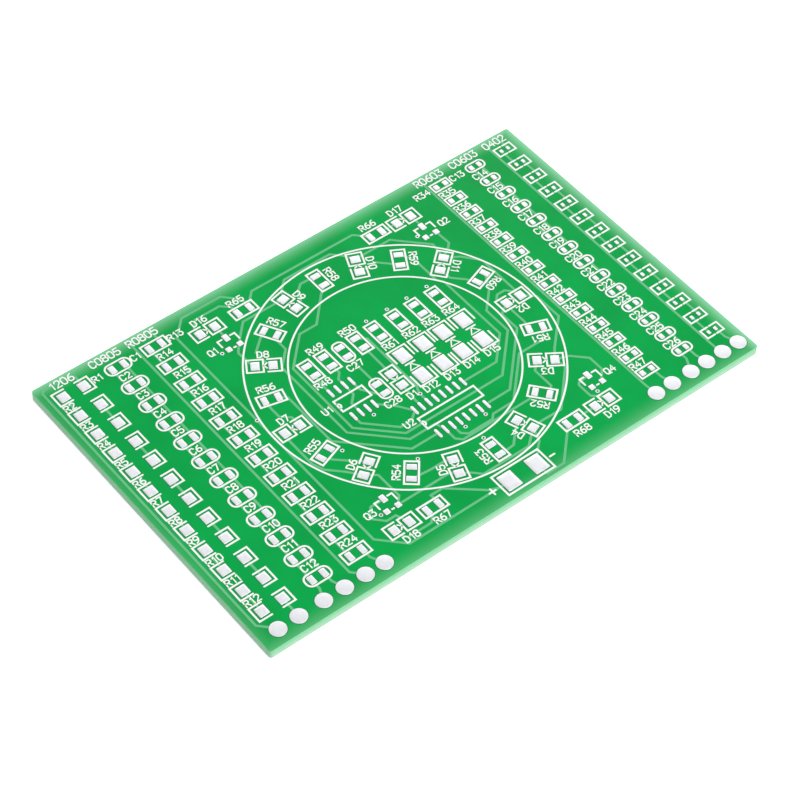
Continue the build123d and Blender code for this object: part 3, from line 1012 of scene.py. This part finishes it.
@dataclass
class MaskOpenings:
    """Openings of the mask round the pads, a little wider than the tin, with the laminate in them,
    darkened partly by painted shade.
    """

    layout: Layout
    margin: float = 0.04
    thickness: float = 0.004

    def build(self, names: tuple[str, ...], laminate: bpy.types.Material) -> bpy.types.Object:
        """Build the laminate that shows round the pads.

        Args:
            names: The CAD nodes with the pads.
            laminate: The material of the bare laminate.

        Returns:
            The piece.
        """
        sheets = FlatMesh(self.layout.mask_top, self.thickness)
        for name in names:
            pads = TinnedPads(name, self.layout)
            for corners in self.layout.pads(name):
                sheets.sheet(pads.outline(corners, -self.margin))
        return sheets.piece("mask_openings", laminate, Slot.MASK)


@dataclass
class Vias:
    """Tinned lands round the drilled vias, and the plated barrels in them."""

    layout: Layout
    land_diameter: float = 0.62
    hole_diameter: float = 0.3
    wall: float = 0.025
    rise: float = 0.012
    sides: int = 24

    def build(self, tin: bpy.types.Material, copper: bpy.types.Material) -> list[bpy.types.Object]:
        """Build the lands and the barrels.

        Args:
            tin: The material of the lands.
            copper: The material of the barrels.

        Returns:
            The two pieces.
        """
        top = self.layout.track_height + self.rise
        lands = FlatMesh(self.layout.mask_top, top)
        barrels = FlatMesh(0.0, self.layout.mask_top + top)
        land_radius = (self.land_diameter + self.hole_diameter) / 4
        land_width = (self.land_diameter - self.hole_diameter) / 2
        barrel_radius = (self.hole_diameter - self.wall) / 2
        for middle in self.layout.vias():
            lands.ribbon(circle(middle, land_radius, self.sides), land_width, closed=True)
            barrels.ribbon(circle(middle, barrel_radius, self.sides), self.wall, closed=True)
        return [lands.piece("via_lands", tin, Slot.TIN), barrels.piece("via_barrels", copper, Slot.TIN)]


@dataclass
class Pen:
    """Draws the marks of footprints in the legend's ink."""

    ink: FlatMesh
    stroke: float = 0.28
    sign_stroke: float = 0.22
    stadium_radius_share: float = 0.85
    stadium_steps: int = 6

    def path(self, points: Outline, middle: Point, turn: float = 0.0, closed: bool = False) -> None:
        """Draw a line of a mark on the board."""
        self.ink.ribbon([placed(p, middle, turn) for p in points], self.stroke, closed)

    def sign(self, points: Outline, middle: Point, turn: float = 0.0, closed: bool = False) -> None:
        """Draw a finer line of a mark on the board."""
        self.ink.ribbon([placed(p, middle, turn) for p in points], self.sign_stroke, closed)

    def rectangle(self, half_x: float, half_y: float, middle: Point) -> None:
        """Draw the outline of a resistor."""
        self.path([(half_x * x, half_y * y) for x, y in ((-1, -1), (1, -1), (1, 1), (-1, 1))], middle,
                  closed=True)

    def stadium(self, half_x: float, half_y: float, middle: Point, turn: float = 0.0) -> None:
        """Draw the outline of a capacitor, whose corners are round.

        Args:
            half_x: Half of its length.
            half_y: Half of its width.
            middle: Its place.
            turn: Its turn in degrees.
        """
        radius = half_y * self.stadium_radius_share
        self.path(round_corners(half_x, half_y, radius, self.stadium_steps), middle, turn, closed=True)

    def brackets(self, half_x: float, half_y: float, arm: float, middle: Point, turn: float = 0.0) -> None:
        """Draw two brackets that open toward each other round a chip.

        Args:
            half_x: Half of the distance between their backs.
            half_y: Half of their height.
            arm: Length of their arms.
            middle: The chip's place.
            turn: Its turn in degrees.
        """
        for side in (-1, 1):
            back, tip = side * half_x, side * (half_x - arm)
            self.path([(tip, half_y), (back, half_y), (back, -half_y), (tip, -half_y)], middle, turn)


@dataclass(frozen=True)
class LedMark:
    """Mark of a light-emitting diode: a bracket, a box and the small diode sign."""

    half_length: float = 2.55
    half_width: float = 1.2
    bracket_end: float = -0.5
    box_start: float = 0.1
    sign_back: float = -0.45
    sign_tip: float = 0.02
    sign_half_width: float = 0.52

    def draw(self, pen: Pen, middle: Point, turn: float) -> None:
        """Draw the mark.

        Args:
            pen: The pen to draw with.
            middle: Its place.
            turn: Direction of its boxed pad in degrees.
        """
        for start, end, closed in ((self.bracket_end, -self.half_length, False),
                                   (self.box_start, self.half_length, True)):
            pen.path([(start, self.half_width), (end, self.half_width), (end, -self.half_width),
                      (start, -self.half_width)], middle, turn, closed)
        pen.sign([(self.sign_back, self.sign_half_width), (self.sign_tip, 0.0),
                  (self.sign_back, -self.sign_half_width)], middle, turn)


@dataclass(frozen=True)
class DiodeMark:
    """Mark of a power diode: end brackets and its sign between the pads."""

    half_length: float = 3.95
    half_width: float = 1.6
    arm: float = 2.4
    bar_half: float = 0.85
    bar_y: float = 0.55
    sign_half: float = 0.8
    sign_back: float = -0.72
    sign_tip: float = 0.42

    def draw(self, pen: Pen, middle: Point) -> None:
        """Draw the mark.

        Args:
            pen: The pen to draw with.
            middle: Its place.
        """
        pen.brackets(self.half_length, self.half_width, self.arm, middle, 90)
        pen.path([(-self.bar_half, self.bar_y), (self.bar_half, self.bar_y)], middle)
        pen.sign([(-self.sign_half, self.sign_back), (self.sign_half, self.sign_back),
                  (0.0, self.sign_tip)], middle, closed=True)


@dataclass(frozen=True)
class TransistorMark:
    """Mark of a small transistor: two corners behind and a bar in front, with a word beside it."""

    single_pad_length: float = 1.2
    single_pad_y: float = 1.06
    corner_start: float = 0.73
    half_length: float = 1.53
    corner_y: float = 1.09
    corner_end: float = -0.2
    bar_half: float = 0.2
    bar_y: float = -1.2
    word_x: float = 3.2
    word_y: float = -0.1

    def draw(self, pen: Pen, middle: Point) -> None:
        """Draw the mark.

        Args:
            pen: The pen to draw with.
            middle: Its place.
        """
        for side in (-1, 1):
            pen.path([(self.corner_start * side, self.corner_y), (self.half_length * side, self.corner_y),
                      (self.half_length * side, self.corner_end)], middle)
        pen.path([(-self.bar_half, self.bar_y), (self.bar_half, self.bar_y)], middle)


@dataclass(frozen=True)
class PackageMark:
    """Pin-one notch and word of a package with leads."""

    node_name: str
    word: str
    word_place: Point
    notch_radius: float = 0.45
    notch_step: int = 20
    outline_gap: float = 0.36

    def draw(self, pen: Pen) -> None:
        """Draw the notch on the left end of the package's outline.

        Args:
            pen: The pen to draw with.
        """
        middle = box_middle(self.node_name)
        left = box_mm(self.node_name)[0].x - middle[0] - self.outline_gap
        angles = [math.radians(a) for a in range(0, 181, self.notch_step)]
        pen.path([(left + self.notch_radius * math.sin(a), self.notch_radius * math.cos(a))
                  for a in angles], middle)


@dataclass(frozen=True)
class ColumnPrint:
    """Print of one column of chips: its outlines, its numbered words and its heading.

    The first word stands beside its chip and the others behind theirs.
    """

    node_name: str
    shape: Shape
    half_x: float
    half_y: float
    heading: str
    heading_x: float
    arm: float = 0.0
    letter: str = ""
    first: int = 0
    word_x: float = 0.0
    word_y: float = 0.0
    first_word_x: float = 0.0

    def draw(self, pen: Pen, middle: Point) -> None:
        """Draw the outline of one chip.

        Args:
            pen: The pen to draw with.
            middle: The chip's place.
        """
        if self.shape is Shape.BRACKETS:
            pen.brackets(self.half_x, self.half_y, self.arm, middle)
        elif self.shape is Shape.STADIUM:
            pen.stadium(self.half_x, self.half_y, middle)
        else:
            pen.rectangle(self.half_x, self.half_y, middle)


COLUMNS = (
    ColumnPrint("resistor_1206_pads", Shape.BRACKETS, 3.02, 1.29, "1206", -0.4, arm=2.1, letter="R",
                first=1, word_x=-2.95, word_y=2.15, first_word_x=3.35),
    ColumnPrint("capacitor_0805_pads", Shape.STADIUM, 2.05, 1.06, "C0805", -0.65, letter="C", first=1,
                word_x=-1.05, word_y=2.15, first_word_x=2.3),
    ColumnPrint("resistor_0805_pads", Shape.RECTANGLE, 2.05, 1.03, "R0805", -0.65, letter="R", first=13,
                word_x=-1.0, word_y=2.15, first_word_x=2.3),
    ColumnPrint("resistor_0603_pads", Shape.RECTANGLE, 1.6, 0.82, "R0603", -0.65, letter="R", first=34,
                word_x=-1.6, word_y=1.72, first_word_x=-5.0),
    ColumnPrint("capacitor_0603_pads", Shape.STADIUM, 1.62, 0.82, "C0603", -0.65, letter="C", first=13,
                word_x=-1.8, word_y=1.72, first_word_x=-4.85),
    ColumnPrint("chip_0402_pads", Shape.BRACKETS, 1.57, 0.87, "0402", -0.4, arm=1.42),
)
PACKAGES = (PackageMark("timer_pads", "U1", (-4.3, 0.3)), PackageMark("counter_pads", "U2", (-6.6, 1.2)))
CENTRE_RESISTORS = (("R48", Side.FRONT), ("R49", Side.BACK), ("R50", Side.BACK), ("R61", Side.FRONT),
                    ("R62", Side.FRONT), ("R63", Side.FRONT), ("R64", Side.FRONT))
CORNERS = ((Side.BACK, ("D16", "D17"), ("R65", "R66")), (Side.FRONT, ("D18", "D19"), ("R67", "R68")))
# Words of the transistors, by whether they are right of the ring's middle and behind it
TRANSISTORS = {(False, True): "Q1", (True, True): "Q2", (False, False): "Q3", (True, False): "Q4"}


@dataclass
class Legend:
    """Small marks and words of the white screen print."""

    layout: Layout
    letters: Lettering = Lettering()
    headings: Lettering = Lettering(height=1.3, stroke=0.22, advance=0.82)
    led_mark: LedMark = LedMark()
    diode_mark: DiodeMark = DiodeMark()
    transistor_mark: TransistorMark = TransistorMark()
    ring_sides: int = 240
    heading_inset: float = 1.22
    ring_word_y: float = -2.15
    led_turns: tuple[float, ...] = (0, -34.5, -69.5, -109, -145.5, 180, 148, 102, 67, 40)
    resistor_turns: tuple[float, ...] = (-21, -50, -90, -129.5, -161, 166, 120, 90, 60, 19)
    first_ring_led: int = 2
    first_ring_resistor: int = 51
    led_span: float = 2.62
    resistor_span: float = 2.13
    capacitor_span: float = 2.06
    diode_span: float = 4.65
    centre_resistor_word_y: float = 3.0
    centre_capacitor_half: Point = (2.05, 1.0)
    centre_capacitor_word: Point = (-0.2, -3.05)
    indicator_word: Point = (0.0, -3.7)
    first_diode: int = 12
    diode_word: Point = (-0.3, -4.8)
    corner_led_word_y: float = 2.25
    corner_resistor_word_y: float = 2.2
    plus_place: Point = (-5.66, -0.1)
    plus_half: float = 0.6
    minus_place: Point = (5.2, -0.15)
    minus_half: float = 0.45

    def __post_init__(self) -> None:
        """Start the meshes of the marks and the words at the ink's level."""
        self.marks = FlatMesh(self.layout.ink_level, self.layout.ink_height)
        self.words = FlatMesh(self.layout.ink_level, self.layout.ink_height)
        self.pen = Pen(self.marks)

    def write(self, text: str, middle: Point, offset: Point, align: Align = Align.CENTRE) -> None:
        """Write a word at an offset from its footprint."""
        self.letters.write(self.words, text, placed(offset, middle), align)

    def rings(self, ink: bpy.types.Material) -> bpy.types.Object:
        """Draw the two large rings as fine printed lines that stand for the CAD rings.

        Args:
            ink: The ink's material.

        Returns:
            The piece.
        """
        lines = FlatMesh(self.layout.ink_level, self.layout.ink_height)
        for radius in (self.layout.ring_radius, self.layout.inner_radius):
            lines.ribbon(circle(self.layout.ring_middle, radius, self.ring_sides), self.pen.stroke,
                         closed=True)
        piece = lines.piece("legend_rings_print", ink, Slot.INK)
        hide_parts("legend_rings")
        return piece

    def column(self, printed: ColumnPrint) -> None:
        """Draw the print of a column of chips.

        Args:
            printed: What is printed there.
        """
        places = self.layout.column(printed.node_name)
        for row, middle in enumerate(places):
            printed.draw(self.pen, middle)
            if printed.letter:
                offset = (printed.word_x, printed.word_y) if row else (printed.first_word_x, 0.0)
                self.write(f"{printed.letter}{printed.first + row}", middle, offset, Align.LEFT)
        heading_y = box_mm("board")[1].y - self.heading_inset
        self.headings.write(self.words, printed.heading, (places[0][0] + printed.heading_x, heading_y))

    def ring_word(self, text: str, middle: Point, turn: float) -> None:
        """Write a word beside a footprint of the ring, with its head away from the footprint."""
        anchor = placed((0.0, self.ring_word_y), middle, turn)
        self.letters.write(self.words, text, anchor, degrees=turn - 180)

    def ring(self) -> None:
        """Draw the marks and words round the ring."""
        for index, turn in enumerate(self.led_turns):
            middle = self.layout.on_ring(index, 0.0)
            self.led_mark.draw(self.pen, middle, turn)
            self.ring_word(f"D{index + self.first_ring_led}", middle, turn)
        for index, turn in enumerate(self.resistor_turns):
            middle = self.layout.on_ring(index, -self.layout.ring_step)
            self.ring_word(f"R{index + self.first_ring_resistor}", middle, turn)

    def centre(self) -> None:
        """Draw the marks and words inside the ring."""
        resistors = self.layout.pairs("centre_resistor_pads", self.resistor_span)
        for (text, side), middle in zip(CENTRE_RESISTORS, resistors):
            self.write(text, middle, (0.0, self.centre_resistor_word_y * side.value))
        capacitors = self.layout.pairs("centre_capacitor_pads", self.capacitor_span)
        for text, middle in zip(("C27", "C28"), sorted(capacitors, key=lambda p: -p[1])):
            self.pen.stadium(*self.centre_capacitor_half, middle, 90)
            self.write(text, middle, self.centre_capacitor_word)
        indicator = self.layout.pairs("indicator_led_pads", self.led_span)[0]
        self.led_mark.draw(self.pen, indicator, -90)
        self.write("D1", indicator, self.indicator_word)
        diodes = self.layout.pairs("diode_pads", self.diode_span)
        for number, middle in enumerate(diodes, start=self.first_diode):
            self.diode_mark.draw(self.pen, middle)
            self.write(f"D{number}", middle, self.diode_word)
        for package in PACKAGES:
            package.draw(self.pen)
            self.write(package.word, box_middle(package.node_name), package.word_place)

    def corners(self) -> None:
        """Draw the marks and words of the light-emitting diodes and resistors in the corners."""
        leds = self.layout.pairs("corner_led_pads", self.led_span)
        resistors = self.layout.pairs("corner_resistor_pads", self.resistor_span)
        middle_y = self.layout.ring_middle[1]
        for side, led_words, resistor_words in CORNERS:
            back = side is Side.BACK
            for text, middle in zip(led_words, [p for p in leds if (p[1] > middle_y) == back]):
                self.led_mark.draw(self.pen, middle, 0.0)
                self.write(text, middle, (0.0, self.corner_led_word_y * side.value))
            for text, middle in zip(resistor_words, [p for p in resistors if (p[1] > middle_y) == back]):
                self.write(text, middle, (0.0, self.corner_resistor_word_y * side.value))

    def transistors(self) -> None:
        """Draw the marks and words of the four transistors, each placed by its single pad."""
        mark = self.transistor_mark
        for pad in self.layout.pads("transistor_pads"):
            ys = [y for _, y in pad]
            if max(ys) - min(ys) <= mark.single_pad_length:
                continue
            x, y = middle_of(pad)
            right, back = x > self.layout.ring_middle[0], y > self.layout.ring_middle[1]
            middle = (x, y - mark.single_pad_y)
            mark.draw(self.pen, middle)
            word_x = mark.word_x if right else -mark.word_x
            self.write(TRANSISTORS[(right, back)], middle, (word_x, mark.word_y))

    def supply(self) -> None:
        """Draw the plus and minus signs of the supply's pads."""
        plus_x, plus_y = self.plus_place
        minus_x, minus_y = self.minus_place
        lines = (((plus_x - self.plus_half, plus_y), (plus_x + self.plus_half, plus_y)),
                 ((plus_x, plus_y - self.plus_half), (plus_x, plus_y + self.plus_half)),
                 ((minus_x - self.minus_half, minus_y), (minus_x + self.minus_half, minus_y)))
        middle = box_middle("supply_pads")
        for order, line in enumerate(lines):
            self.marks.ribbon([placed(p, middle) for p in line], self.pen.stroke,
                              lift=order * CROSSING_LIFT)

    def build(self, ink: bpy.types.Material) -> list[bpy.types.Object]:
        """Draw the whole print.

        Args:
            ink: The ink's material.

        Returns:
            The pieces with the marks, the words and the rings.
        """
        for printed in COLUMNS:
            self.column(printed)
        self.ring()
        self.centre()
        self.corners()
        self.transistors()
        self.supply()
        return [self.marks.piece("legend_marks", ink, Slot.INK),
                self.words.piece("legend_words", ink, Slot.INK), self.rings(ink)]


@dataclass(frozen=True)
class SoftBox:
    """Square soft box that faces the board, with its power in watts."""

    name: str
    place: tuple[float, float, float]
    size: float
    watts: float

    def hang(self) -> None:
        """Hang the lamp in the studio."""
        data = bpy.data.lights.new(self.name, "AREA")
        data.size = self.size * MM
        data.energy = self.watts
        made = bpy.data.objects.new(self.name, data)
        made.location = Vector(self.place) * MM
        made.rotation_euler = (-Vector(self.place)).to_track_quat("-Z", "Y").to_euler()
        bpy.context.scene.collection.objects.link(made)


@dataclass
class Studio:
    """White paper floor, soft lamps and the camera, with its turns in degrees."""

    azimuth: float = -39.50
    elevation: float = 49.68
    roll: float = 1.43
    distance: float = 391.7
    aim: Point = (-2.659, -3.790)
    lens: float = 122.38
    sensor: float = 36.0
    nearest: float = 10.0
    farthest: float = 20000.0
    floor_size: float = 3000.0
    floor_drop: float = 0.05
    world_light: float = 0.36
    lamps: tuple[SoftBox, ...] = (SoftBox("key_soft_box", (120, -460, 700), 600, 5.8),
                                  SoftBox("back_soft_box", (560, 640, 400), 620, 2.4))

    def camera(self) -> None:
        """Set the camera at the photograph's viewing angle."""
        a, e = math.radians(self.azimuth), math.radians(self.elevation)
        back = Vector((math.sin(a) * math.cos(e), -math.cos(a) * math.cos(e), math.sin(e)))
        data = bpy.data.cameras.new("photo_camera")
        data.lens = self.lens
        data.sensor_width = self.sensor
        data.clip_start = self.nearest * MM
        data.clip_end = self.farthest * MM
        made = bpy.data.objects.new("photo_camera", data)
        bpy.context.scene.collection.objects.link(made)
        turn = (-back).to_track_quat("-Z", "Y").to_matrix()
        turn = turn @ Matrix.Rotation(math.radians(self.roll), 3, "Z")
        place = (Vector((*self.aim, 0)) + back * self.distance) * MM
        made.matrix_world = Matrix.Translation(place) @ turn.to_4x4()
        bpy.context.scene.camera = made

    def floor(self, paper: bpy.types.Material) -> None:
        """Lay the paper floor under the board.

        Args:
            paper: The paper's material.
        """
        half = self.floor_size / 2 * MM
        data = bpy.data.meshes.new("paper_floor")
        data.from_pydata([(x * half, y * half, 0) for x, y in ((-1, -1), (1, -1), (1, 1), (-1, 1))], [],
                         [(0, 1, 2, 3)])
        data.materials.append(paper)
        made = bpy.data.objects.new("paper_floor", data)
        made.location.z = -self.floor_drop * MM
        bpy.context.scene.collection.objects.link(made)

    def world(self) -> None:
        """Light the room evenly, and show it white to the camera and in reflections."""
        world = bpy.data.worlds.new("white_room")
        bpy.context.scene.world = world
        world.use_nodes = True
        tree = world.node_tree
        tree.nodes.clear()
        room = node(tree, "ShaderNodeBackground",
                    inputs={"Color": srgb("FFFFFF"), "Strength": self.world_light}).outputs[0]
        white = node(tree, "ShaderNodeBackground",
                     inputs={"Color": srgb("FFFFFF"), "Strength": 1.0}).outputs[0]
        mix = node(tree, "ShaderNodeMixShader", inputs={0: looking_rays(tree), 1: room, 2: white})
        node(tree, "ShaderNodeOutputWorld", inputs={"Surface": mix.outputs[0]})

    def build(self) -> None:
        """Set the whole studio and the plain view transform."""
        bpy.context.scene.view_settings.view_transform = "Standard"
        self.camera()
        self.floor(PaperSweep().material())
        for lamp in self.lamps:
            lamp.hang()
        self.world()


PAD_NODES = ("resistor_1206_pads", "capacitor_0805_pads", "resistor_0805_pads", "resistor_0603_pads",
             "capacitor_0603_pads", "chip_0402_pads", "ring_led_pads", "ring_resistor_pads",
             "centre_resistor_pads", "centre_capacitor_pads", "indicator_led_pads", "diode_pads",
             "timer_pads", "counter_pads", "corner_led_pads", "corner_resistor_pads", "transistor_pads",
             "supply_pads", "test_pads")
TRACK_NODES = ("left_tracks", "ring_tracks", "right_tracks")
INK_NODES = ("legend_rings", "legend_outlines")


def dress(names: tuple[str, ...], finish: bpy.types.Material) -> None:
    """Give CAD nodes their finish.

    Args:
        names: The nodes.
        finish: The material for every slot of theirs.
    """
    for name in names:
        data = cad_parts[name].data
        for index in range(len(data.materials)):
            data.materials[index] = finish
        LOG.info("%s: dressed in %s", name, finish.name)


def main() -> None:
    """Dress the board, build its tinned and printed details, and set the studio."""
    logging.basicConfig(level=logging.INFO, format="%(message)s")
    layout = Layout()
    mask, copper = SolderMask().material(), MaskedCopper().material()
    tin, ink = HotAirTin().material(), ScreenInk().material()
    dress(("board",), mask)
    dress(TRACK_NODES, copper)
    dress(INK_NODES, ink)
    for name in PAD_NODES:
        TinnedPads(name, layout).build(tin)
    MaskOpenings(layout).build(PAD_NODES, BareLaminate().material())
    Vias(layout).build(tin, PlatedCopper().material())
    Legend(layout).build(ink)
    Studio().build()


if __name__ == "__main__":
    main()
